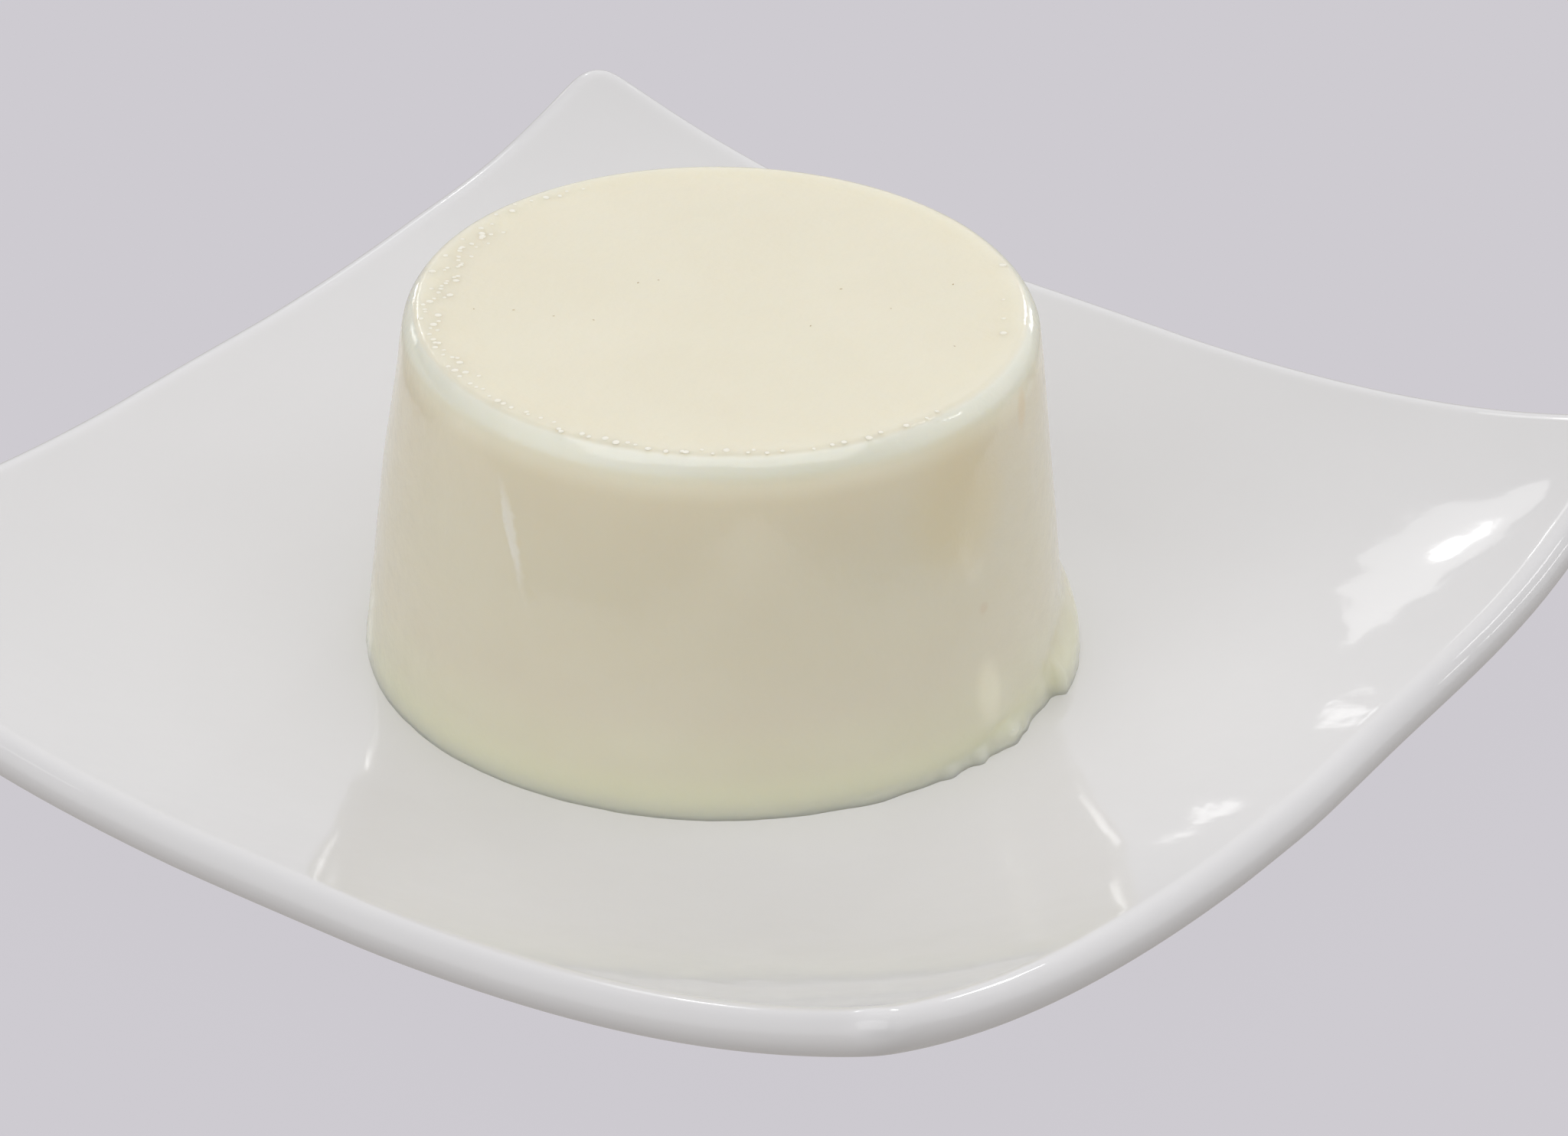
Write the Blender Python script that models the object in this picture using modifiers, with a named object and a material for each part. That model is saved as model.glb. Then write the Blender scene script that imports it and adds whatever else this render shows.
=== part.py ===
"""A panna cotta turned out of its mould onto a small square porcelain plate with upturned corners.

Metres, +Z up. The origin is the middle of the plate's foot, on the table, and the plate's sides run
along X and Y. Both pieces begin as turned profiles: the plate's round blank is then pressed square and
its corners lifted, and the dessert gets the uneven foot that it tore on leaving its mould.
"""

import math

import bpy
from mathutils import Vector

# Plate: the line down the middle of its rim, seen from above
RIM_HALF = 0.0705  # from the middle of the plate to the square through the rim's corners
SIDE_BOW = 0.0373  # how far a side bows out at its middle, as a share of RIM_HALF
CORNER_SHARPNESS = 90  # power of the superellipse that rounds the corners

# The dish: a flat middle, a rise towards the sides, and more of a rise towards the corners
WELL_RISE = 0.00818  # how far the wall has risen at the rim, halfway along a side
WELL_FLAT = 0.50  # where the rise begins, as a share of the way to the rim
WELL_POWER = 1.75
CORNER_RISE = 0.00618
CORNER_FLAT = 0.16
CORNER_POWER = 1.62

PLATE_THICK = 0.0046
FOOT_HEIGHT = 0.0035
FOOT_RADIUS = 0.0420
FOOT_WIDTH = 0.0045
FOOT_ROUND = 0.0010
FOOD_Z = FOOT_HEIGHT + PLATE_THICK  # the plate's flat top, above the table

# Panna cotta
BASE_RADIUS = 0.0375
TOP_RADIUS = 0.0333  # where the side would meet the top if that edge were sharp
DESSERT_HEIGHT = 0.0394
TOP_EDGE_ROUND = 0.0028
TOP_DISH = 0.0004  # how far the middle of the top has sunk
BASE_EDGE_ROUND = 0.0005
SEAT_GAP = 0.0003  # clear of the plate, as two solids that only touch have to be
LIP_HEIGHT = 0.0042
TORN_FOOT = (  # the torn part of the foot: how far it sticks out, at each turn in degrees
    (-26, 0.0),
    (-19, 0.0008),
    (-11, 0.0004),
    (-4, 0.0009),
    (4, 0.0005),
    (11, 0.0002),
    (17, 0.0003),
    (23, 0.0012),
    (34, 0.0014),
    (43, 0.0012),
    (50, 0.0),
)

PLATE_SECTORS = 96
DESSERT_SECTORS = 96
BLANK_FLAT = FOOT_RADIUS + FOOT_WIDTH  # the blank stays round inside this radius
CORNER_CROWDING = 0.88  # 0 spaces the sectors evenly, and towards 1 they crowd into the corners
NUDGE = 1e-5  # step of the slopes that are taken by difference


def clear_scene():
    for obj in list(bpy.data.objects):
        bpy.data.objects.remove(obj)


def new_material(name, colour, roughness):
    material = bpy.data.materials.new(name)
    material.use_nodes = True
    shader = material.node_tree.nodes["Principled BSDF"]
    shader.inputs["Base Color"].default_value = (*colour, 1)
    shader.inputs["Roughness"].default_value = roughness
    shader.inputs["Metallic"].default_value = 0
    return material


def arc(centre, radius, start, end, steps):
    """Points (r, z) along an arc of a profile, its angles in degrees from the outward direction."""
    turns = [math.radians(start + (end - start) * i / steps) for i in range(steps + 1)]
    return [(centre[0] + radius * math.cos(t), centre[1] + radius * math.sin(t)) for t in turns]


def turned(name, profile, sectors, collection):
    """The profile (r, z) turned about Z. It runs from the axis over the top and down to the axis."""
    mesh = bpy.data.meshes.new(name + "_profile")
    edges = [(i, i + 1) for i in range(len(profile) - 1)]
    mesh.from_pydata([(r, 0, z) for r, z in profile], edges, [])
    obj = bpy.data.objects.new(name, mesh)
    collection.objects.link(obj)
    screw = obj.modifiers.new("turn", "SCREW")
    screw.steps = screw.render_steps = sectors
    screw.use_merge_vertices = True
    screw.merge_threshold = NUDGE
    graph = bpy.context.evaluated_depsgraph_get()
    obj.data = bpy.data.meshes.new_from_object(obj.evaluated_get(graph))
    obj.data.name = name
    obj.modifiers.clear()
    bpy.data.meshes.remove(mesh)
    return obj


def reshape(obj, move):
    """Moves each point of a turned piece to where move(radius, turn, height) says."""
    for vertex in obj.data.vertices:
        x, y, z = vertex.co
        vertex.co = move(math.hypot(x, y), math.atan2(y, x), z)
    obj.data.shade_smooth()
    obj.data.set_sharp_from_angle(angle=math.radians(50))


# ---- plate ----


def rim_point(angle):
    """(x, y) of the middle of the rim."""
    c, s = math.cos(angle), math.sin(angle)
    reach = (abs(c) ** CORNER_SHARPNESS + abs(s) ** CORNER_SHARPNESS) ** (-1 / CORNER_SHARPNESS)
    along = reach * reach * abs(c * s)  # 0 in the middle of a side, 1 at a corner
    reach *= RIM_HALF * (1 + SIDE_BOW * (1 - along**2))
    return reach * c, reach * s


SIDE_REACH = rim_point(0)[0]
CORNER_REACH = rim_point(math.pi / 4)[0]


def rise(share, flat, power):
    """0 up to the flat share, then a smooth climb to 1 at a share of 1."""
    return max(0, (share - flat) / (1 - flat)) ** power


def dish_height(x, y):
    """How far the middle of the plate's wall has risen at (x, y)."""
    well = (x**4 + y**4) ** 0.25 / SIDE_REACH
    corner = abs(x * y) / CORNER_REACH**2
    return WELL_RISE * rise(well, WELL_FLAT, WELL_POWER) + CORNER_RISE * rise(
        corner, CORNER_FLAT, CORNER_POWER
    )


def wall_normal(x, y):
    slope_x = (dish_height(x + NUDGE, y) - dish_height(x - NUDGE, y)) / (2 * NUDGE)
    slope_y = (dish_height(x, y + NUDGE) - dish_height(x, y - NUDGE)) / (2 * NUDGE)
    return Vector((-slope_x, -slope_y, 1)).normalized()


def rim_outward(angle, normal):
    """The direction square to both the rim and the wall's normal, pointing away from the plate."""
    step = NUDGE / RIM_HALF
    behind, ahead = rim_point(angle - step), rim_point(angle + step)
    along = Vector((*ahead, dish_height(*ahead))) - Vector((*behind, dish_height(*behind)))
    return along.cross(normal).normalized()


def press_square(radius, turn, offset):
    """Takes a point of the round blank, at an offset from the middle of its wall, to the plate."""
    angle = turn + CORNER_CROWDING / 4 * math.sin(4 * turn)
    share = min(max(0, (radius - BLANK_FLAT) / (RIM_HALF - BLANK_FLAT)), 1)
    flat_radius = min(radius, BLANK_FLAT)
    rim_x, rim_y = rim_point(angle)
    x = (1 - share) * flat_radius * math.cos(turn) + share * rim_x
    y = (1 - share) * flat_radius * math.sin(turn) + share * rim_y
    wall_z = FOOD_Z - PLATE_THICK / 2
    if offset < -0.51 * PLATE_THICK:  # the foot, which stays level
        return Vector((x, y, wall_z + offset))
    normal = wall_normal(x, y)
    middle = Vector((x, y, wall_z + dish_height(x, y)))
    past_rim = max(0, radius - RIM_HALF)
    return middle + normal * offset + rim_outward(angle, normal) * past_rim


def make_plate(collection):
    half = PLATE_THICK / 2
    wall = [BLANK_FLAT + (RIM_HALF - BLANK_FLAT) * i / 8 for i in range(8)]
    profile = [(0, half), (0.55 * BLANK_FLAT, half), (0.85 * BLANK_FLAT, half)]
    profile += [(radius, half) for radius in wall]
    profile += arc((RIM_HALF, 0), half, 90, -90, 6)
    profile += [(radius, -half) for radius in reversed(wall[:1] + wall[2::2])]
    outer, inner = FOOT_RADIUS + FOOT_WIDTH / 2, FOOT_RADIUS - FOOT_WIDTH / 2
    sole = -half - FOOT_HEIGHT
    profile += [(outer + FOOT_ROUND, -half)]
    profile += arc((outer - FOOT_ROUND, sole + FOOT_ROUND), FOOT_ROUND, 0, -90, 2)
    profile += arc((inner + FOOT_ROUND, sole + FOOT_ROUND), FOOT_ROUND, -90, -180, 2)
    profile += [(inner - FOOT_ROUND, -half), (0, -half)]
    plate = turned("plate", profile, PLATE_SECTORS, collection)
    reshape(plate, press_square)
    plate.data.materials.append(new_material("white_glaze", (0.74, 0.73, 0.73), 0.12))


# ---- panna cotta ----


def side_radius(height):
    return BASE_RADIUS + (TOP_RADIUS - BASE_RADIUS) * height / DESSERT_HEIGHT


def torn_reach(turn):
    """How far the torn foot sticks out at that turn."""
    degrees = math.degrees(turn)
    for (start, low), (end, high) in zip(TORN_FOOT, TORN_FOOT[1:]):
        if start <= degrees <= end:
            return low + (high - low) * (degrees - start) / (end - start)
    return 0.0


def tear_foot(radius, turn, height):
    """Pushes the lowest part of the side out where the foot is torn."""
    above = height - FOOD_Z - SEAT_GAP
    if radius > 0.9 * BASE_RADIUS and above < LIP_HEIGHT:
        radius += torn_reach(turn) * math.sqrt(1 - above / LIP_HEIGHT)
    return Vector((radius * math.cos(turn), radius * math.sin(turn), height))


def make_panna_cotta(collection):
    base = FOOD_Z + SEAT_GAP
    lean = math.atan2(BASE_RADIUS - TOP_RADIUS, DESSERT_HEIGHT)
    edge_z = DESSERT_HEIGHT - TOP_EDGE_ROUND
    edge_r = side_radius(edge_z) - TOP_EDGE_ROUND / math.cos(lean)
    outline = [
        (edge_r * i / 4, DESSERT_HEIGHT - TOP_DISH * (1 - (i / 4) ** 4)) for i in range(4)
    ]
    outline += arc((edge_r, edge_z), TOP_EDGE_ROUND, 90, math.degrees(lean), 6)
    heights = [0.75, 0.5, 0.25]
    outline += [(side_radius(DESSERT_HEIGHT * h), DESSERT_HEIGHT * h) for h in heights]
    foot = [LIP_HEIGHT, 0.9 * LIP_HEIGHT, 0.7 * LIP_HEIGHT, 0.4 * LIP_HEIGHT]
    outline += [(side_radius(h), h) for h in foot]
    outline += arc((BASE_RADIUS - BASE_EDGE_ROUND, BASE_EDGE_ROUND), BASE_EDGE_ROUND, 0, -90, 2)
    outline += [(0, 0)]
    profile = [(r, base + z) for r, z in outline]
    dessert = turned("panna_cotta", profile, DESSERT_SECTORS, collection)
    reshape(dessert, tear_foot)
    dessert.data.materials.append(new_material("set_cream", (0.78, 0.73, 0.57), 0.35))


clear_scene()
panna_cotta_on_plate = bpy.data.collections.new("panna_cotta_on_plate")
bpy.context.scene.collection.children.link(panna_cotta_on_plate)
make_plate(panna_cotta_on_plate)
make_panna_cotta(panna_cotta_on_plate)
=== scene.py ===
import math
import random

import bpy
from mathutils import Matrix, Vector, noise


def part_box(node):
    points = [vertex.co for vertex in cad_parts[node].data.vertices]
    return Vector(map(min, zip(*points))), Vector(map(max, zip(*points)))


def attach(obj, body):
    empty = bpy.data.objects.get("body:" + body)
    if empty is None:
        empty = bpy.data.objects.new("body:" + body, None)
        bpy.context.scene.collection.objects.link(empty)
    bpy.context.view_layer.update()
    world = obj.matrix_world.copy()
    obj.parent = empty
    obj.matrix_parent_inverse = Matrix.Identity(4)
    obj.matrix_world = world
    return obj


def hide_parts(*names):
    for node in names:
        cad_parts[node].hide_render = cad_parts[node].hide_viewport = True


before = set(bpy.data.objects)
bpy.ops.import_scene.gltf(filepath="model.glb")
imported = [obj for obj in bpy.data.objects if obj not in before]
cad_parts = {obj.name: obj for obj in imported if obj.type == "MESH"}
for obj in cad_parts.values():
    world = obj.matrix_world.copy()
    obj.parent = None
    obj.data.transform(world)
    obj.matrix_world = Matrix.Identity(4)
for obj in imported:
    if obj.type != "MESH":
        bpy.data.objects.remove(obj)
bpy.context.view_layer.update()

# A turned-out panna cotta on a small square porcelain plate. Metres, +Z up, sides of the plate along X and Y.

PLATE_LOW, PLATE_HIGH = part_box("plate")
DESSERT_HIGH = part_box("panna_cotta")[1]
MM = 0.001

# ---- sizes of the plate ----

WALL = 4.6 * MM  # thickness of the porcelain
FOOT_TALL = 3.5 * MM
FOOT_RADIUS = 42 * MM
FOOT_WIDE = 4.5 * MM
FOOT_ROUND = 1.0 * MM
SEAT_Z = PLATE_LOW.z + FOOT_TALL + WALL  # the glaze in the middle, where the dessert sits
SIDE_REACH = (PLATE_HIGH.x - PLATE_LOW.x) / 2 - WALL / 2  # to the middle of the rim, halfway along a side
SIDE_BOW = 0.0373  # how far a side bows out at its middle, as a share of its reach
CORNER_SHARPNESS = 90  # the more, the less the corners round off
# the well and the corners: how far they rise, how much of the way out is flat first, and how hollow they are
WELL_RISE, WELL_FLAT, WELL_POWER = 8.18 * MM, 0.5, 1.75
CORNER_RISE, CORNER_FLAT, CORNER_POWER = 6.18 * MM, 0.16, 1.62
FLAT_RADIUS = FOOT_RADIUS + FOOT_WIDE
PLATE_TURNS = 288  # points round one ring of its mesh
CORNER_CROWDING = 0.21  # how far, in radians, those points move towards the corners

# ---- sizes of the dessert ----

TALL = DESSERT_HIGH.z - SEAT_Z
FOOT_R = 37.4 * MM
TOP_R = 33.3 * MM  # where side and top would meet if the edge were sharp
EDGE_ROUND = 2.6 * MM
LIP_TALL, LIP_WIDE = 0.08 * MM, 2.2 * MM  # the raised lip round the top
SUNK = 0.2 * MM  # how far the foot goes into the glaze, so that no dark seam shows
DESSERT_TURNS = 420  # points round one ring of its mesh
LEAN = math.atan2(FOOT_R - TOP_R, TALL)
EDGE_Z = TALL - EDGE_ROUND
EDGE_R = TOP_R + (FOOT_R - TOP_R) * EDGE_ROUND / TALL - EDGE_ROUND / math.cos(LEAN)

# ---- the view ----

VIEW_TURN = math.radians(35.55)  # from +Y towards -X, as the camera looks
VIEW_DOWN = math.radians(30.61)
VIEW_ROLL = math.radians(1.03)
VIEW_FAR = 0.651
VIEW_SIDE, VIEW_UP = 7.17 * MM, 6.85 * MM  # how far the aim is from the foot of the dessert
LENS = 139.5


# ================ helpers ================


def new_object(name, mesh):
    obj = bpy.data.objects.new(name, mesh)
    bpy.context.scene.collection.objects.link(obj)
    return obj


def mesh_from_rings(name, rings):
    """A closed skin over rings of points, each ring as long as the next. Ends close on their middle."""
    count = len(rings[0])
    points = [p for ring in rings for p in ring]
    faces = []
    for i in range(len(rings) - 1):
        for j in range(count):
            k = (j + 1) % count
            low, high = i * count, (i + 1) * count
            faces.append((low + j, high + j, high + k, low + k))
    for first, ring, flip in ((0, rings[0], False), ((len(rings) - 1) * count, rings[-1], True)):
        points.append(sum((Vector(p) for p in ring), Vector()) / count)
        tip = len(points) - 1
        for j in range(count):
            face = (tip, first + j, first + (j + 1) % count)
            faces.append(face[::-1] if flip else face)
    mesh = bpy.data.meshes.new(name)
    mesh.from_pydata([tuple(p) for p in points], [], faces)
    mesh.shade_smooth()
    return mesh


def arc(centre, radius, start, end, steps):
    """Points along an arc, from one angle in degrees to the other."""
    turns = [math.radians(start + (end - start) * i / steps) for i in range(steps + 1)]
    return [(centre[0] + radius * math.cos(t), centre[1] + radius * math.sin(t)) for t in turns]


def blend_in(value, low, high):
    """0 below low, 1 above high, and smooth between them."""
    t = min(max((value - low) / (high - low), 0), 1)
    return t * t * (3 - 2 * t)


def bump_at(value, centre, half_width):
    """A smooth hump, 1 at its centre and 0 past its half width."""
    t = abs(value - centre) / half_width
    return (1 - t * t) ** 2 if t < 1 else 0.0


def turn_apart(a, b):
    """The signed angle in degrees from b to a."""
    return (a - b + 180) % 360 - 180


def unevenness(x, y, z, size):
    """Smooth noise from about -1 to 1, its lumps about that size across."""
    return noise.noise(Vector((x, y, z)) / size)


# ================ shader groups ================


def group_tree(name, inputs, outputs):
    """An empty shader node group. Its sockets are given as (name, type, default)."""
    tree = bpy.data.node_groups.new(name, "ShaderNodeTree")
    for label, kind, default in inputs:
        socket = tree.interface.new_socket(label, in_out="INPUT", socket_type="NodeSocket" + kind)
        if default is not None:
            socket.default_value = default
    for label, kind in outputs:
        tree.interface.new_socket(label, in_out="OUTPUT", socket_type="NodeSocket" + kind)
    return tree, tree.nodes.new("NodeGroupInput"), tree.nodes.new("NodeGroupOutput")


def add_node(tree, kind, links=(), **settings):
    """A new node with its settings, and its inputs linked from (input, output socket) pairs or set."""
    node = tree.nodes.new(kind)
    for key, value in settings.items():
        setattr(node, key, value)
    for key, source in links:
        if isinstance(source, bpy.types.NodeSocket):
            tree.links.new(source, node.inputs[key])
        else:
            node.inputs[key].default_value = source
    return node


def mix_colours(tree, share, first, second):
    """The second colour over the first by that share. Each of the three is a value or an output socket."""
    return add_node(tree, "ShaderNodeMix", ((0, share), (6, first), (7, second)), data_type="RGBA").outputs[2]


def make_mottle_group():
    """Soft clouds of a second colour over a first one."""
    tree, given, made = group_tree(
        "soft_mottle",
        (
            ("Colour", "Color", None),
            ("Cloud Colour", "Color", None),
            ("Size", "Float", 0.01),
            ("Amount", "Float", 0.5),
        ),
        (("Colour", "Color"),),
    )
    place = add_node(tree, "ShaderNodeTexCoord")
    scale = add_node(tree, "ShaderNodeMath", ((0, 1.0), (1, given.outputs["Size"])), operation="DIVIDE")
    cloud = add_node(
        tree,
        "ShaderNodeTexNoise",
        (("Vector", place.outputs["Object"]), ("Scale", scale.outputs[0]), ("Detail", 3.0)),
    )
    spread = add_node(
        tree, "ShaderNodeMapRange", (("Value", cloud.outputs["Fac"]), ("From Min", 0.35), ("From Max", 0.65))
    )
    share = add_node(
        tree, "ShaderNodeMath", ((0, spread.outputs[0]), (1, given.outputs["Amount"])), operation="MULTIPLY"
    )
    mixed = mix_colours(tree, share.outputs[0], given.outputs["Colour"], given.outputs["Cloud Colour"])
    tree.links.new(mixed, made.inputs["Colour"])
    return tree


def make_waviness_group():
    """The faint wave of a poured or set surface, with a finer skin on it, as a height."""
    tree, given, made = group_tree(
        "surface_waviness",
        (("Wave Size", "Float", 0.01), ("Skin Size", "Float", 0.001), ("Skin Share", "Float", 0.2)),
        (("Height", "Float"),),
    )
    place = add_node(tree, "ShaderNodeTexCoord")
    heights = []
    for size in ("Wave Size", "Skin Size"):
        scale = add_node(tree, "ShaderNodeMath", ((0, 1.0), (1, given.outputs[size])), operation="DIVIDE")
        heights.append(
            add_node(
                tree,
                "ShaderNodeTexNoise",
                (("Vector", place.outputs["Object"]), ("Scale", scale.outputs[0]), ("Detail", 2.0)),
            ).outputs["Fac"]
        )
    skin = add_node(
        tree,
        "ShaderNodeMath",
        ((0, heights[1]), (1, given.outputs["Skin Share"]), (2, heights[0])),
        operation="MULTIPLY_ADD",
    )
    tree.links.new(skin.outputs[0], made.inputs["Height"])
    return tree


def make_mark_group():
    """One soft-edged mark on a turned side: 1 inside it and 0 away from it. Lengths are in metres."""
    tree, given, made = group_tree(
        "soft_mark",
        (
            ("Turn", "Float", 0.0),
            ("Height", "Float", 0.02),
            ("Half Width", "Float", 0.002),
            ("Half Height", "Float", 0.005),
            ("Lean", "Float", 0.0),
            ("Ragged", "Float", 0.0),
        ),
        (("Mask", "Float"),),
    )

    def work_out(operation, *values):
        return add_node(tree, "ShaderNodeMath", tuple(enumerate(values)), operation=operation).outputs[0]

    place = add_node(tree, "ShaderNodeTexCoord")
    parts = add_node(tree, "ShaderNodeSeparateXYZ", (("Vector", place.outputs["Object"]),))
    grain = add_node(tree, "ShaderNodeTexNoise", (("Vector", place.outputs["Object"]), ("Scale", 700.0)))
    turn = work_out("ARCTAN2", parts.outputs["Y"], parts.outputs["X"])
    above = work_out("SUBTRACT", parts.outputs["Z"], given.outputs["Height"])
    apart = work_out("SUBTRACT", turn, work_out("RADIANS", given.outputs["Turn"]))
    across = work_out("MULTIPLY", apart, FOOT_R)
    across = work_out("SUBTRACT", across, work_out("MULTIPLY", above, given.outputs["Lean"]))
    shift = work_out("MULTIPLY", work_out("SUBTRACT", grain.outputs["Fac"], 0.5), given.outputs["Ragged"])
    across = work_out("DIVIDE", work_out("ADD", across, shift), given.outputs["Half Width"])
    above = work_out("DIVIDE", above, given.outputs["Half Height"])
    squares = work_out("ADD", work_out("MULTIPLY", across, across), work_out("MULTIPLY", above, above))
    away = work_out("SQRT", squares)
    fade = add_node(
        tree,
        "ShaderNodeMapRange",
        (("Value", away), ("From Min", 1.0), ("From Max", 0.3)),
        interpolation_type="SMOOTHSTEP",
    )
    tree.links.new(fade.outputs[0], made.inputs["Mask"])
    return tree


def place_group(tree, group, **values):
    """The group in a material, with values for its inputs: Wave_Size stands for Wave Size."""
    node = add_node(tree, "ShaderNodeGroup", node_tree=group)
    for key, value in values.items():
        node.inputs[key.replace("_", " ")].default_value = value
    return node


# ================ materials ================


def colour(red, green, blue):
    """A screen colour, 0 to 255 a channel, as the shader's linear one."""
    channels = [c / 255 for c in (red, green, blue)]
    return tuple(c / 12.92 if c <= 0.04045 else ((c + 0.055) / 1.055) ** 2.4 for c in channels) + (1.0,)


def shader_of(material):
    """The material's node tree and its main shader."""
    material.use_nodes = True
    return material.node_tree, material.node_tree.nodes["Principled BSDF"]


def set_bump(tree, shader, height, distance):
    """Lets a height make the shader's surface look uneven."""
    bump = add_node(tree, "ShaderNodeBump", (("Height", height), ("Distance", distance), ("Strength", 1.0)))
    tree.links.new(bump.outputs["Normal"], shader.inputs["Normal"])


def make_glaze(mottle, waviness):
    material = bpy.data.materials.new("white_porcelain_glaze")
    tree, shader = shader_of(material)
    clouds = place_group(
        tree, mottle, Colour=colour(233, 232, 233), Cloud_Colour=colour(231, 230, 231), Size=0.03, Amount=0.6
    )
    tree.links.new(clouds.outputs["Colour"], shader.inputs["Base Color"])
    shader.inputs["Roughness"].default_value = 0.06
    shader.inputs["IOR"].default_value = 1.6
    wave = place_group(tree, waviness, Wave_Size=0.02, Skin_Size=0.004, Skin_Share=0.08)
    set_bump(tree, shader, wave.outputs["Height"], 0.00025)
    return material


# the cream's tone by height: a touch greener at its foot and warmer high up, with painted light in it:
# lighter at the very foot (painted light coming through at the seat), darker down the sides (painted shade)
# and palest on the
# rounded edge (painted highlight): millimetres above the plate, and screen colour
CREAM_TONES_AND_PAINTED_LIGHT = (
    (0, (250, 248, 212)),
    (1.5, (241, 239, 208)),
    (6, (234, 230, 206)),
    (12, (233, 227, 205)),
    (20, (234, 228, 205)),
    (34.5, (239, 232, 208)),
    (37, (247, 241, 221)),
    (38.2, (255, 247, 230)),
    (39.3, (255, 247, 230)),
    (39.62, (240, 234, 212)),
)


def tone_by_height(tree, stops):
    """A colour that changes with the height in the object, from (height in metres, screen colour) pairs."""
    low, high = stops[0][0], stops[-1][0]
    place = add_node(tree, "ShaderNodeTexCoord")
    parts = add_node(tree, "ShaderNodeSeparateXYZ", (("Vector", place.outputs["Object"]),))
    share = add_node(
        tree, "ShaderNodeMapRange", (("Value", parts.outputs["Z"]), ("From Min", low), ("From Max", high))
    )
    ramp = add_node(tree, "ShaderNodeValToRGB", (("Fac", share.outputs[0]),))
    ramp.color_ramp.interpolation = "EASE"
    marks = ramp.color_ramp.elements
    while len(marks) < len(stops):
        marks.new(0.5)
    for mark, (height, tone) in zip(marks, stops):
        mark.position = (height - low) / (high - low)
        mark.color = colour(*tone)
    return ramp.outputs["Color"]


# marks on the side, two of them painted highlight and one painted shade: turn in degrees, height over the
# plate, half width and half height in millimetres, lean, raggedness in millimetres, strength and screen
# colour
SIDE_MARKS_AND_PAINTED_LIGHT = (
    # the pale streak down the knife's mark: painted highlight
    (-90.9, 28.0, 1.0, 6.3, -0.41, 1.6, 0.5, (255, 252, 244)),
    # the pale patch on the sag low down: painted highlight
    (-3.6, 7.4, 2.6, 4.8, 0.0, 0.3, 0.6, (252, 246, 222)),
    # the broad warm, darker zone high up: painted shade, the tint of light come far through the cream
    (-8.0, 29.5, 10.0, 10.0, 0.0, 0.5, 0.5, (240, 227, 188)),
    (13.2, 35.0, 1.7, 2.8, 0.2, 0.3, 0.6, (238, 222, 188)),
    (-3.4, 16.9, 1.0, 0.9, 0.0, 0.3, 0.45, (228, 212, 184)),
)


def make_cream(mottle, waviness, mark):
    material = bpy.data.materials.new("milk_cream")
    tree, shader = shader_of(material)
    clouds = place_group(tree, mottle, Size=0.014, Amount=0.35)
    # the cream's tones with their painted light and shade, and a warmer copy of them for the clouds
    warmer_tones_and_painted_light = [(high, (r - 3, g - 5, b - 7)) for high, (r, g, b) in CREAM_TONES_AND_PAINTED_LIGHT]
    tones_and_painted_light, cloud_tones_and_painted_light = (
        tone_by_height(tree, [(SEAT_Z + high * MM, tone) for high, tone in stops])
        for stops in (CREAM_TONES_AND_PAINTED_LIGHT, warmer_tones_and_painted_light)
    )
    tree.links.new(tones_and_painted_light, clouds.inputs["Colour"])
    tree.links.new(cloud_tones_and_painted_light, clouds.inputs["Cloud Colour"])
    tone = clouds.outputs["Colour"]
    # each mark is mixed over the tone: some are real blemishes, some painted highlight and painted shade
    for turn, height, half_width, half_height, lean, ragged, strength, paint in SIDE_MARKS_AND_PAINTED_LIGHT:
        spot = place_group(
            tree,
            mark,
            Turn=turn,
            Height=SEAT_Z + height * MM,
            Half_Width=half_width * MM,
            Half_Height=half_height * MM,
            Lean=lean,
            Ragged=ragged * MM,
        )
        share = add_node(
            tree, "ShaderNodeMath", ((0, spot.outputs["Mask"]), (1, strength)), operation="MULTIPLY"
        )
        tone = mix_colours(tree, share.outputs[0], tone, colour(*paint))
    tree.links.new(tone, shader.inputs["Base Color"])
    shader.inputs["Roughness"].default_value = 0.11
    shader.inputs["Specular IOR Level"].default_value = 1.0
    shader.inputs["IOR"].default_value = 1.5
    shader.inputs["Subsurface Weight"].default_value = 1.0
    shader.inputs["Subsurface Radius"].default_value = (1.0, 0.94, 0.84)
    shader.inputs["Subsurface Scale"].default_value = 0.0055
    wave = place_group(tree, waviness, Wave_Size=0.006, Skin_Size=0.0007, Skin_Share=0.12)
    set_bump(tree, shader, wave.outputs["Height"], 0.0002)
    return material


def make_bubble_skin(mottle):
    material = bpy.data.materials.new("bubble_skin")
    tree, shader = shader_of(material)
    clouds = place_group(
        tree, mottle, Colour=colour(255, 251, 238), Cloud_Colour=colour(252, 247, 232), Size=0.002, Amount=0.8
    )
    tree.links.new(clouds.outputs["Colour"], shader.inputs["Base Color"])
    shader.inputs["Roughness"].default_value = 0.12
    shader.inputs["IOR"].default_value = 1.38
    return material


def make_speck_brown(mottle):
    material = bpy.data.materials.new("zest_brown")
    tree, shader = shader_of(material)
    clouds = place_group(
        tree, mottle, Colour=colour(196, 172, 118), Cloud_Colour=colour(150, 130, 96), Size=0.0008, Amount=0.8
    )
    tree.links.new(clouds.outputs["Colour"], shader.inputs["Base Color"])
    shader.inputs["Roughness"].default_value = 0.35
    return material


# ================ the plate ================


# where the firing left the rim a little off true: turn in degrees, millimetres inward, degrees to each side
OFF_TRUE = ((16, 1.3, 18), (142, 0.5, 10), (235, -0.9, 24), (290, 0.45, 28))


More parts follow.
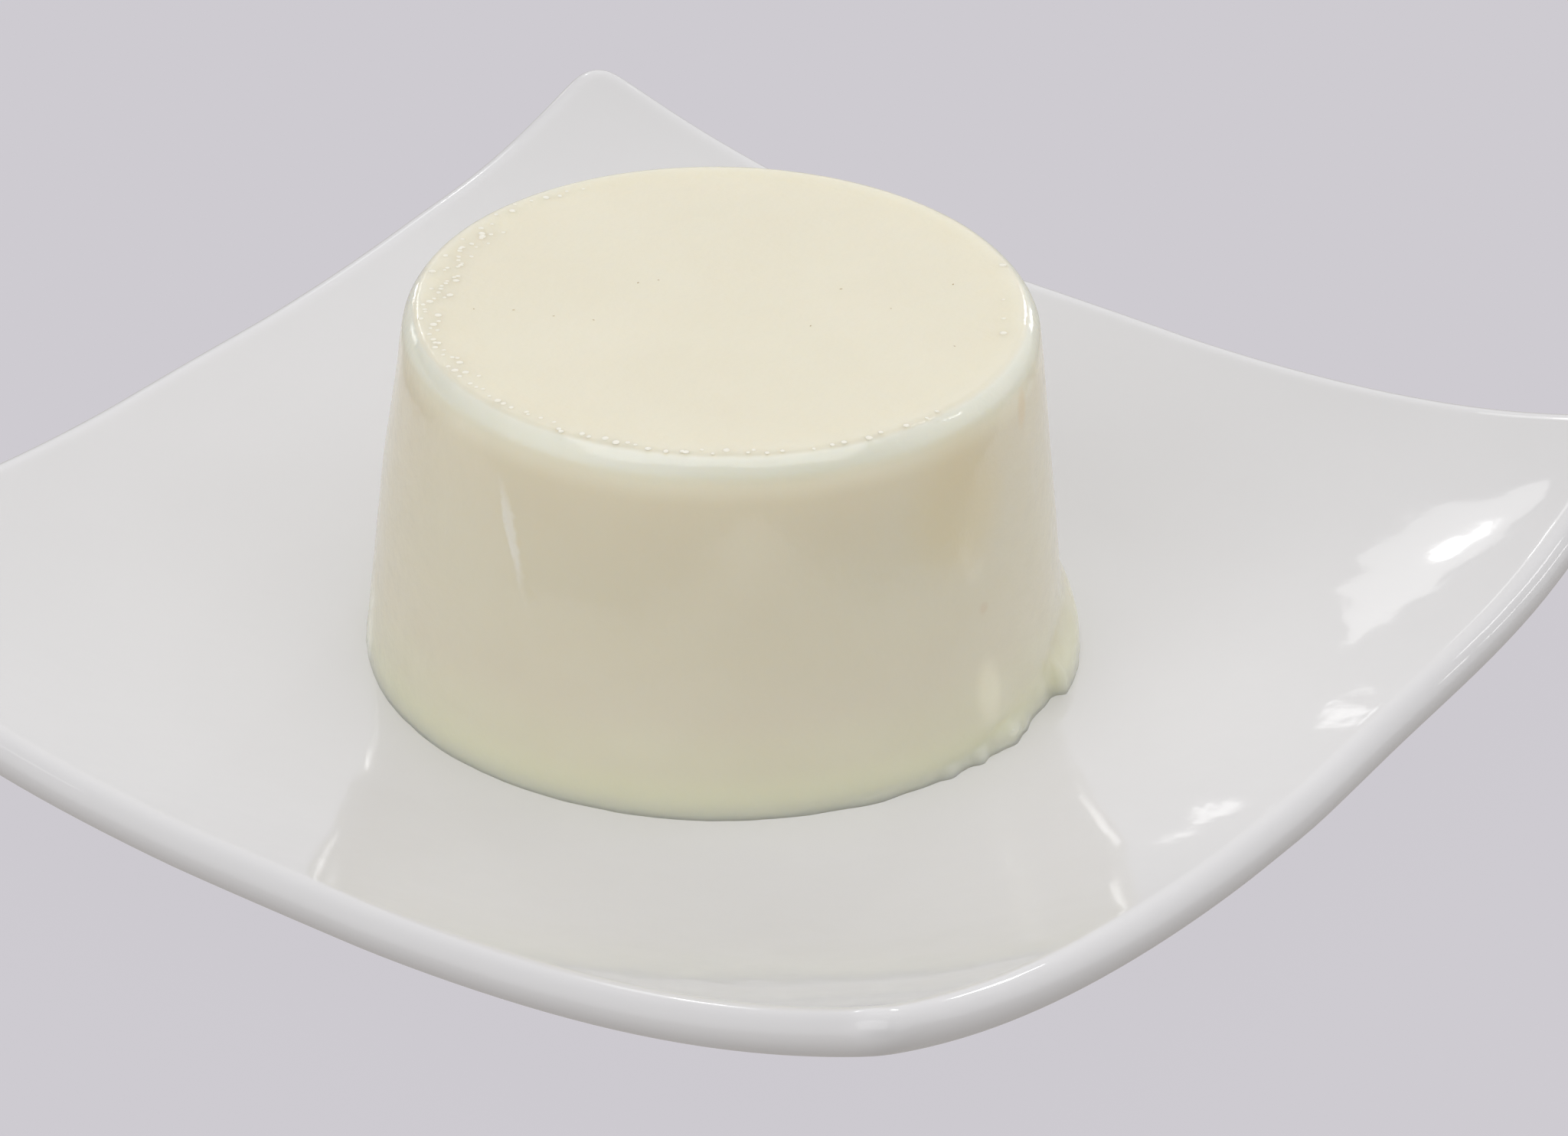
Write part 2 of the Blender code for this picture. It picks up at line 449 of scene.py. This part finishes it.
def rim_point(angle):
    """(x, y) of the middle of the rim in that direction."""
    c, s = math.cos(angle), math.sin(angle)
    reach = (abs(c) ** CORNER_SHARPNESS + abs(s) ** CORNER_SHARPNESS) ** (-1 / CORNER_SHARPNESS)
    along = reach * reach * abs(c * s)
    reach *= SIDE_REACH * (1 + SIDE_BOW * (1 - along**2)) / (1 + SIDE_BOW)
    for turn, inward, spread in OFF_TRUE:
        reach -= inward * MM * bump_at(turn_apart(math.degrees(angle), turn), 0, spread)
    return reach * c, reach * s


CORNER_REACH = rim_point(math.pi / 4)[0]


def rise(share, flat, power):
    """0 over the flat part, then steeper and steeper, and 1 at the rim."""
    return max(0, (share - flat) / (1 - flat)) ** power


def dish_height(x, y):
    """How far the middle of the wall has risen at (x, y): the well first, then the corners."""
    well = (x**4 + y**4) ** 0.25 / SIDE_REACH
    corner = abs(x * y) / CORNER_REACH**2
    risen = WELL_RISE * rise(well, WELL_FLAT, WELL_POWER)
    return risen + CORNER_RISE * rise(corner, CORNER_FLAT, CORNER_POWER)


def wall_normal(x, y):
    """The direction straight up out of the wall at (x, y)."""
    step = 0.02 * MM
    slope_x = (dish_height(x + step, y) - dish_height(x - step, y)) / (2 * step)
    slope_y = (dish_height(x, y + step) - dish_height(x, y - step)) / (2 * step)
    return Vector((-slope_x, -slope_y, 1)).normalized()


def rim_outward(angle, normal):
    """The direction out over the rim there, in line with the wall."""
    behind, ahead = rim_point(angle - 1e-3), rim_point(angle + 1e-3)
    along = Vector((*ahead, dish_height(*ahead))) - Vector((*behind, dish_height(*behind)))
    return along.cross(normal).normalized()


def plate_stations():
    """The rings of the plate, from its middle over the rim to the middle of the underside. Each is
    (radius on the flat middle, share of the way on to the rim, distance past it, offset from mid wall)."""
    half = WALL / 2
    shares = [i / 44 for i in range(44)]
    outer, inner = FOOT_RADIUS + FOOT_WIDE / 2, FOOT_RADIUS - FOOT_WIDE / 2
    sole = -half - FOOT_TALL
    stations = [(FLAT_RADIUS * f, 0, 0, half) for f in (0.1, 0.3, 0.5, 0.65, 0.78, 0.9)]
    stations += [(FLAT_RADIUS, share, 0, half) for share in shares]
    stations += [(FLAT_RADIUS, 1, out, up) for out, up in arc((0, 0), half, 90, -90, 28)]
    stations += [(FLAT_RADIUS, share, 0, -half) for share in reversed(shares[::2])]
    stations += [(outer + FOOT_ROUND, 0, 0, -half)]
    foot = arc((outer - FOOT_ROUND, sole + FOOT_ROUND), FOOT_ROUND, 0, -90, 6)
    foot += arc((inner + FOOT_ROUND, sole + FOOT_ROUND), FOOT_ROUND, -90, -180, 6)
    stations += [(r, 0, 0, z) for r, z in foot]
    return stations + [(inner - FOOT_ROUND, 0, 0, -half), (inner / 2, 0, 0, -half)]


def plate_point(turn, radius, share, past, offset):
    """One point of a ring. The points crowd towards the corners, where the rim bends most."""
    half = WALL / 2
    angle = turn + CORNER_CROWDING * math.sin(4 * turn)
    rim_x, rim_y = rim_point(angle)
    x = (1 - share) * radius * math.cos(turn) + share * rim_x
    y = (1 - share) * radius * math.sin(turn) + share * rim_y
    if offset < -half:  # the foot ring goes straight down
        return Vector((x, y, SEAT_Z - half + offset))
    normal = wall_normal(x, y)
    point = Vector((x, y, SEAT_Z - half + dish_height(x, y))) + normal * offset
    if past:
        point += rim_outward(angle, normal) * past
    return point


def make_plate(glaze):
    turns = [math.tau * i / PLATE_TURNS for i in range(PLATE_TURNS)]
    rings = [[plate_point(turn, *station) for turn in turns] for station in plate_stations()]
    plate = new_object("porcelain_plate", mesh_from_rings("porcelain_plate", rings))
    plate.data.materials.append(glaze)
    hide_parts("plate")
    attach(plate, "root")


# ================ the panna cotta ================

# the torn part of the foot: turn in degrees, how far it sticks out and how high it reaches, in millimetres
TORN_FOOT = (
    (-34, 0.0, 1.2),
    (-27, 0.3, 1.3),
    (-22, 0.1, 1.2),
    (-16, 0.15, 1.2),
    (-13.5, 0.6, 1.3),
    (-11, 0.25, 1.2),
    (-9, 0.3, 1.3),
    (-7, 0.85, 1.6),
    (-4.5, 0.4, 1.7),
    (-2, 0.7, 2.2),
    (1.2, 1.1, 2.4),
    (4.5, 0.6, 2.2),
    (9, 0.1, 2.0),
    (15.0, 0.2, 3.0),
    (16.6, 0.3, 4.0),
    (18.2, 1.6, 4.4),
    (24, 1.7, 5.2),
    (34, 1.6, 6.0),
    (42, 1.3, 7.0),
    (48, 0.8, 6.6),
    (53, 0.0, 6.0),
)


def torn_at(degrees):
    """(how far out, how high) the torn foot is at that turn, in metres."""
    for (start, out, high), (end, next_out, next_high) in zip(TORN_FOOT, TORN_FOOT[1:]):
        if start <= degrees <= end:
            t = blend_in(degrees, start, end)
            return (out + (next_out - out) * t) * MM, (high + (next_high - high) * t) * MM
    return 0.0, 1.0 * MM


TORN_FULL, TORN_GONE = 0.45, 1.25  # shares of its height: it is fully out below one and gone above the other
RAGGED_TO, SMOOTH_FROM = 12, 20  # turns in degrees: its flange is smooth, and the rest is ragged
# how far the lumps of the cream stand out, and how wide they are
SIDE_LUMPS = ((0.10 * MM, 18 * MM), (0.04 * MM, 5 * MM))
TOP_LUMPS = (0.05 * MM, 14 * MM)
FOOT_LUMPS = (0.12 * MM, 2.5 * MM)
FOOT_LUMPS_HIGH = 1.2 * MM  # how high up the side they reach
TORN_LUMPS = (0.3, 2.2 * MM)  # how far as a share of what sticks out
# the mark that the loosening knife left: its heights, its turn, lean and width in degrees, and its relief
KNIFE_LOW, KNIFE_HIGH = 19 * MM, 34 * MM
KNIFE_TURN, KNIFE_LEAN, KNIFE_HALF_WIDTH = -85.7, -9, 1.3
KNIFE_OUT = 0.22 * MM
# a soft sag low down by the torn foot: where it ends, where it is fullest and where it begins
SAG_FOOT, SAG_FULL, SAG_HEAD = 1.6 * MM, 4.2 * MM, 11.5 * MM
SAG_TURN, SAG_HALF_WIDTH = -3.6, 8
SAG_OUT = 0.45 * MM
# where the side lies further in: high up at the left of the view, and where it rolls over to the top
DRAWN_TURN, DRAWN_LOW, DRAWN_HIGH, DRAWN_IN = -145, 20 * MM, 34 * MM, 0.45 * MM
FRONT_TURN, ROLL_LOW, ROLL_HIGH = -54, 31 * MM, TALL + 1 * MM
ROLL_IN, FRONT_ROLL_IN = 0.25 * MM, 0.45 * MM


def side_radius(height):
    return FOOT_R + (TOP_R - FOOT_R) * height / TALL


def top_height(radius):
    """The height over the table of the top at that radius, with its lip."""
    return SEAT_Z + TALL - LIP_TALL * (1 - blend_in(radius, EDGE_R - LIP_WIDE, EDGE_R))


def dessert_profile():
    """(r, z) from the middle of the top over the edge and down the side to the seat."""
    flat = EDGE_R - LIP_WIDE
    outline = [(flat * i / 22, TALL - LIP_TALL) for i in range(1, 22)]
    outline += [(r, top_height(r) - SEAT_Z) for r in (flat + LIP_WIDE * i / 12 for i in range(12))]
    outline += arc((EDGE_R, EDGE_Z), EDGE_ROUND, 90, math.degrees(LEAN), 18)
    side_top = outline[-1][1]
    side_low = 6 * MM  # the rings lie closer below this, where the foot is torn
    heights = [side_top + (side_low - side_top) * i / 30 for i in range(1, 31)]
    heights += [side_low * (1 - i / 26) for i in range(1, 27)] + [-SUNK / 2, -SUNK]
    outline += [(side_radius(z), z) for z in heights]
    return outline + [(FOOT_R * f, -SUNK) for f in (0.995, 0.9, 0.6, 0.3, 0.1)]


def foot_outward(degrees, x, y, height):
    """How far the foot stands out of the side there: a fine unevenness all round, and the torn part."""
    tall, wide = FOOT_LUMPS
    fine = tall * unevenness(x, y, 0, wide) * (1 - blend_in(height, 0, FOOT_LUMPS_HIGH))
    reach, high = torn_at(degrees)
    share, wide = TORN_LUMPS
    ragged = 1 + share * unevenness(x, y, 3 * height, wide) * (1 - blend_in(degrees, RAGGED_TO, SMOOTH_FROM))
    return fine + reach * ragged * (1 - blend_in(height / high, TORN_FULL, TORN_GONE))


def knife_outward(degrees, height):
    """How far the knife's mark stands out there. It leans, wavers and tapers to both ends."""
    along = (height - KNIFE_LOW) / (KNIFE_HIGH - KNIFE_LOW)
    if not 0 < along < 1:
        return 0.0
    centre = KNIFE_TURN + KNIFE_LEAN * along + 0.9 * unevenness(0, 0, height, 2 * MM)
    taper = math.sin(math.pi * along) ** 0.6
    return KNIFE_OUT * taper * bump_at(turn_apart(degrees, centre), 0, KNIFE_HALF_WIDTH)


def sag_outward(degrees, height):
    """How far the sag stands out there. It swells slowly downwards and ends at once."""
    sag = blend_in(height, SAG_HEAD, SAG_FULL) * blend_in(height, SAG_FOOT, SAG_FULL)
    return SAG_OUT * sag * bump_at(degrees, SAG_TURN, SAG_HALF_WIDTH)


def drawn_in(degrees, height):
    """How far in the side lies there: high up on one side, and where it rolls over to the top."""
    aside = max(0, math.cos(math.radians(degrees - DRAWN_TURN)))
    front = max(0, math.cos(math.radians(degrees - FRONT_TURN)))
    pulled = DRAWN_IN * aside * blend_in(height, DRAWN_LOW, DRAWN_HIGH)
    return pulled + (ROLL_IN + FRONT_ROLL_IN * front) * blend_in(height, ROLL_LOW, ROLL_HIGH) ** 2


def dessert_point(radius, turn, height):
    """Where a point of the plain turned shape lies on the real, uneven one."""
    degrees = turn_apart(math.degrees(turn), 0)
    x, y = radius * math.cos(turn), radius * math.sin(turn)
    on_side = blend_in(radius, EDGE_R, EDGE_R + EDGE_ROUND)
    seated = blend_in(height, 0, 1.5 * MM)
    uneven = sum(tall * unevenness(x, y, height, wide) for tall, wide in SIDE_LUMPS)
    out = on_side * (uneven - drawn_in(degrees, height))
    out += knife_outward(degrees, height) + sag_outward(degrees, height)
    if radius > 0.93 * FOOT_R:  # all but the top and the middle of the underside
        out += foot_outward(degrees, x, y, height)
    radius += out
    tall, wide = TOP_LUMPS
    lift = (1 - on_side) * tall * unevenness(x, y, 5, wide) * seated
    return Vector((radius * math.cos(turn), radius * math.sin(turn), SEAT_Z + height + lift))


def make_dessert(cream):
    turns = [math.tau * i / DESSERT_TURNS for i in range(DESSERT_TURNS)]
    rings = [[dessert_point(r, turn, z) for turn in turns] for r, z in dessert_profile()]
    dessert = new_object("cream_dessert", mesh_from_rings("cream_dessert", rings))
    dessert.data.materials.append(cream)
    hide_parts("panna_cotta")
    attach(dessert, "root")


def add_bead(points, faces, centre, width, tall, squash, turn):
    """A flattened bead. It stands out of the surface at its centre by tall, and the rest is in the cream."""
    sides, rows, lowest = 12, 6, -50  # the lowest row in degrees, where the top of the bead is 90
    first = len(points)
    for row in range(rows + 1):
        lift = math.radians(lowest + (90 - lowest) * row / rows)
        for side in range(sides if row < rows else 1):
            a = math.tau * side / sides
            u, v = width / 2 * math.cos(lift) * math.cos(a), width / 2 * squash * math.cos(lift) * math.sin(a)
            x, y = u * math.cos(turn) - v * math.sin(turn), u * math.sin(turn) + v * math.cos(turn)
            points.append(centre + Vector((x, y, tall * (2 * math.sin(lift) - 1))))
    tip = len(points) - 1
    points.append(centre - Vector((0, 0, 2.6 * tall)))  # it closes just under the lowest row
    for row in range(rows - 1):
        for side in range(sides):
            nxt = (side + 1) % sides
            low, high = first + row * sides, first + (row + 1) * sides
            faces.append((low + side, low + nxt, high + nxt, high + side))
    for side in range(sides):
        nxt = (side + 1) % sides
        faces.append((first + (rows - 1) * sides + side, first + (rows - 1) * sides + nxt, tip))
        faces.append((first + nxt, first + side, tip + 1))


def joined_piece(name, points, faces, material):
    """Many beads as one piece that belongs to the cream."""
    mesh = bpy.data.meshes.new(name)
    mesh.from_pydata([tuple(p) for p in points], [], faces)
    mesh.shade_smooth()
    piece = new_object(name, mesh)
    piece.data.materials.append(material)
    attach(piece, "root")


# where the bubbles sit: from turn, to turn, how many, from radius, to radius (degrees and millimetres)
BUBBLE_BANDS = (
    (155, 182, 9, 29.6, 31.2),
    (182, 215, 34, 27.6, 31.0),
    (215, 250, 26, 28.8, 31.2),
    (250, 276, 12, 30.2, 31.3),
    (276, 317, 17, 30.8, 31.8),
    (317, 352, 9, 31.2, 32.0),
    (20, 55, 4, 29.0, 31.2),
)
BUBBLE_WIDTHS = (0.5, 0.6, 0.6, 0.7, 0.9)  # in millimetres; a width named twice comes up more often
BUBBLE_TALL = 0.06  # share of its width that a bubble stands up


def make_bubbles(material):
    chance = random.Random(7)
    points, faces = [], []
    for start, end, count, near, far in BUBBLE_BANDS:
        for i in range(count):
            turn = math.radians(start + (end - start) * (i + chance.uniform(0.1, 0.9)) / count)
            radius = chance.uniform(near, far) * MM
            width = chance.choice(BUBBLE_WIDTHS) * MM
            centre = dessert_point(radius, turn, top_height(radius) - SEAT_Z)
            add_bead(points, faces, centre, width, BUBBLE_TALL * width, chance.uniform(0.8, 1.0), turn)
    joined_piece("edge_bubbles", points, faces, material)


# specks in the cream on the top: millimetres from the middle, turn in degrees, length in millimetres
SPECKS = (
    (8.3, 177, 0.28),
    (9.7, 188, 0.4),
    (13.2, 53, 0.4),
    (10.4, 11, 0.36),
    (24.9, 48, 0.4),
    (17.8, 35, 0.28),
    (25.6, 17, 0.28),
    (25.5, 220, 0.28),
    (21.4, 221, 0.36),
    (17.4, 226, 0.32),
    (13.5, 232, 0.32),
)
SPECK_TALL = 0.02 * MM


def make_specks(material):
    chance = random.Random(3)
    points, faces = [], []
    for radius, degrees, length in SPECKS:
        turn = math.radians(degrees)
        r = radius * MM
        centre = dessert_point(r, turn, top_height(r) - SEAT_Z)
        add_bead(points, faces, centre, length * MM, SPECK_TALL, 0.5, chance.uniform(0, math.pi))
    joined_piece("zest_specks", points, faces, material)


# ================ floor, light and camera ================


def view_axes():
    """The camera's right, up and backward directions, before its roll."""
    flat = Vector((math.sin(VIEW_TURN), -math.cos(VIEW_TURN), 0))
    back = flat * math.cos(VIEW_DOWN) + Vector((0, 0, math.sin(VIEW_DOWN)))
    right = Vector((math.cos(VIEW_TURN), math.sin(VIEW_TURN), 0))
    return right, back.cross(right), back


def make_camera():
    right, up, back = view_axes()
    aim = Vector((0, 0, SEAT_Z)) + right * VIEW_SIDE + up * VIEW_UP
    rolled_right = right * math.cos(VIEW_ROLL) + up * math.sin(VIEW_ROLL)
    rolled_up = up * math.cos(VIEW_ROLL) - right * math.sin(VIEW_ROLL)
    data = bpy.data.cameras.new("camera")
    data.lens = LENS
    data.sensor_width = 36
    camera = new_object("camera", data)
    turned = Matrix((rolled_right, rolled_up, back)).transposed().to_4x4()
    camera.matrix_world = Matrix.Translation(aim + back * VIEW_FAR) @ turned
    bpy.context.scene.camera = camera


def make_floor():
    """A plain pale floor that shines softly, so that it looks the same all over."""
    half = 3.0  # metres to each side
    mesh = bpy.data.meshes.new("floor")
    corners = [(-half, -half, 0), (half, -half, 0), (half, half, 0), (-half, half, 0)]
    mesh.from_pydata(corners, [], [(0, 1, 2, 3)])
    floor = new_object("floor", mesh)
    material = bpy.data.materials.new("pale_floor")
    tree, shader = shader_of(material)
    pale = colour(205, 202, 208)
    # it gives back hardly any of the light that falls on it, so that shadows stay faint
    shader.inputs["Base Color"].default_value = tuple(0.03 * c for c in pale[:3]) + (1.0,)
    shader.inputs["Roughness"].default_value = 1.0
    shader.inputs["Specular IOR Level"].default_value = 0.0
    # what the plate mirrors of it is dimmer and less cool than what the camera sees
    rays = add_node(tree, "ShaderNodeLightPath")
    seen = rays.outputs["Is Camera Ray"]
    tree.links.new(mix_colours(tree, seen, colour(207, 203, 199), pale), shader.inputs["Emission Color"])
    glow = add_node(tree, "ShaderNodeMapRange", (("Value", seen), ("To Min", 0.7), ("To Max", 0.985)))
    tree.links.new(glow.outputs[0], shader.inputs["Emission Strength"])
    floor.data.materials.append(material)


def view_direction(bearing, height):
    """A direction, from its degrees to the right of straight ahead of the camera and degrees above level."""
    right, _, back = view_axes()
    ahead = Vector((-back.x, -back.y, 0)).normalized()
    turn, up = math.radians(bearing), math.radians(height)
    level = ahead * math.cos(turn) + right * math.sin(turn)
    return level * math.cos(up) + Vector((0, 0, math.sin(up)))


LIGHT_AIM = Vector((0, 0, 0.03))  # a little above the middle of the dessert


def make_soft_light(name, bearing, height, far, width, tall, radiance):
    """A soft box that faces the dessert, in the direction that bearing and height give."""
    towards = view_direction(bearing, height)
    data = bpy.data.lights.new(name, "AREA")
    data.shape = "RECTANGLE"
    data.size, data.size_y = width, tall
    data.energy = 4 * radiance * width * tall  # in watts, four for each unit of radiance and square metre
    light = new_object(name, data)
    light.location = LIGHT_AIM + towards * far
    light.rotation_euler = towards.to_track_quat("Z", "Y").to_euler()
    light.visible_camera = False


GLOW_FOCUS = 4.0  # the more, the narrower each glow
# soft glows of the studio: bearing, height, strength
GLOWS = (
    (0, 90, 0.32),
    (-2, 50, 0.64),
    (5, 8, 0.68),
    (78, 14, 0.9),
    (-112, 22, 0.66),
    (-135, 8, 0.38),
    (180, 58, 0.2),
)


def make_world():
    """The studio round the plate: soft glows that add up, each fading away from its direction."""
    world = bpy.data.worlds.new("studio")
    bpy.context.scene.world = world
    world.use_nodes = True
    tree = world.node_tree
    place = add_node(tree, "ShaderNodeTexCoord")
    total = 0.0
    for bearing, height, strength in GLOWS:
        facing = add_node(
            tree,
            "ShaderNodeVectorMath",
            ((0, place.outputs["Generated"]), (1, view_direction(bearing, height))),
            operation="DOT_PRODUCT",
        )
        kept = add_node(tree, "ShaderNodeMath", ((0, facing.outputs["Value"]), (1, 0.0)), operation="MAXIMUM")
        spread = add_node(
            tree, "ShaderNodeMath", ((0, kept.outputs[0]), (1, GLOW_FOCUS)), operation="POWER"
        )
        glow = add_node(
            tree,
            "ShaderNodeMath",
            ((0, spread.outputs[0]), (1, strength), (2, total)),
            operation="MULTIPLY_ADD",
        )
        total = glow.outputs[0]
    sky = tree.nodes["Background"]
    sky.inputs["Color"].default_value = (1.0, 0.995, 1.0, 1.0)
    tree.links.new(total, sky.inputs["Strength"])


# the window, as (bearing, height) corners, and the lamp in it
WINDOW = (
    (-10, 18.6),
    (-13, 28.3),
    (-14.8, 28.6),
    (-15.9, 31.5),
    (-21.4, 34.6),
    (-24, 32),
    (-25.3, 27),
    (-22.6, 24.3),
    (-17.9, 21.9),
    (-14.2, 20.5),
)
LAMP = ((-17, 24.3), (-17.5, 26.4), (-19.6, 27), (-20.7, 25.6), (-19.8, 24.5))
PANES_FAR = 8  # metres
# bright panes round the studio: strength, and corners
PANES = (
    (1.9, WINDOW),
    (10.0, LAMP),
    (2.2, ((-6.9, 10), (-7.9, 10.2), (-8.3, 12.4), (-7.4, 12))),
    (9.0, ((19, 17), (23, 15), (24, 22), (20, 24))),
    (5.0, ((27, 2), (34, 1), (34, 4), (30, 9), (27, 10))),
    (4.0, ((-24, 1), (-29, -2), (-28, 8), (-24, 11))),
    (1.8, ((-38, -2), (-46, -4), (-45, 6), (-38, 8))),
    (5.0, ((62, 51), (68, 51), (68, 57), (62, 57))),
    (5.0, ((82, 26), (86, 26), (86, 30), (82, 30))),
)


def make_panes():
    """Bright panes that the glaze and the wet cream mirror. Brighter ones stand nearer, so none is hidden."""
    for number, (strength, corners) in enumerate(PANES, 1):
        mesh = bpy.data.meshes.new("window_pane")
        far = PANES_FAR - 0.05 * strength
        points = [view_direction(bearing, height) * far for bearing, height in corners]
        mesh.from_pydata(points, [], [tuple(range(len(points)))])
        pane = new_object(f"window_pane_{number}", mesh)
        material = bpy.data.materials.new(f"window_light_{number}")
        tree, shader = shader_of(material)
        shader.inputs["Base Color"].default_value = (0, 0, 0, 1)
        shader.inputs["Emission Color"].default_value = (1, 1, 1, 1)
        shader.inputs["Emission Strength"].default_value = strength
        pane.data.materials.append(material)
        pane.visible_camera = False


def make_lights():
    make_world()
    make_panes()
    make_soft_light("overhead_box", bearing=180, height=62, far=1.5, width=2.6, tall=1.2, radiance=0.8)


def main():
    mottle = make_mottle_group()
    waviness = make_waviness_group()
    make_plate(make_glaze(mottle, waviness))
    make_dessert(make_cream(mottle, waviness, make_mark_group()))
    make_bubbles(make_bubble_skin(mottle))
    make_specks(make_speck_brown(mottle))
    make_camera()
    make_floor()
    make_lights()
    bpy.context.scene.view_settings.view_transform = "Standard"


main()
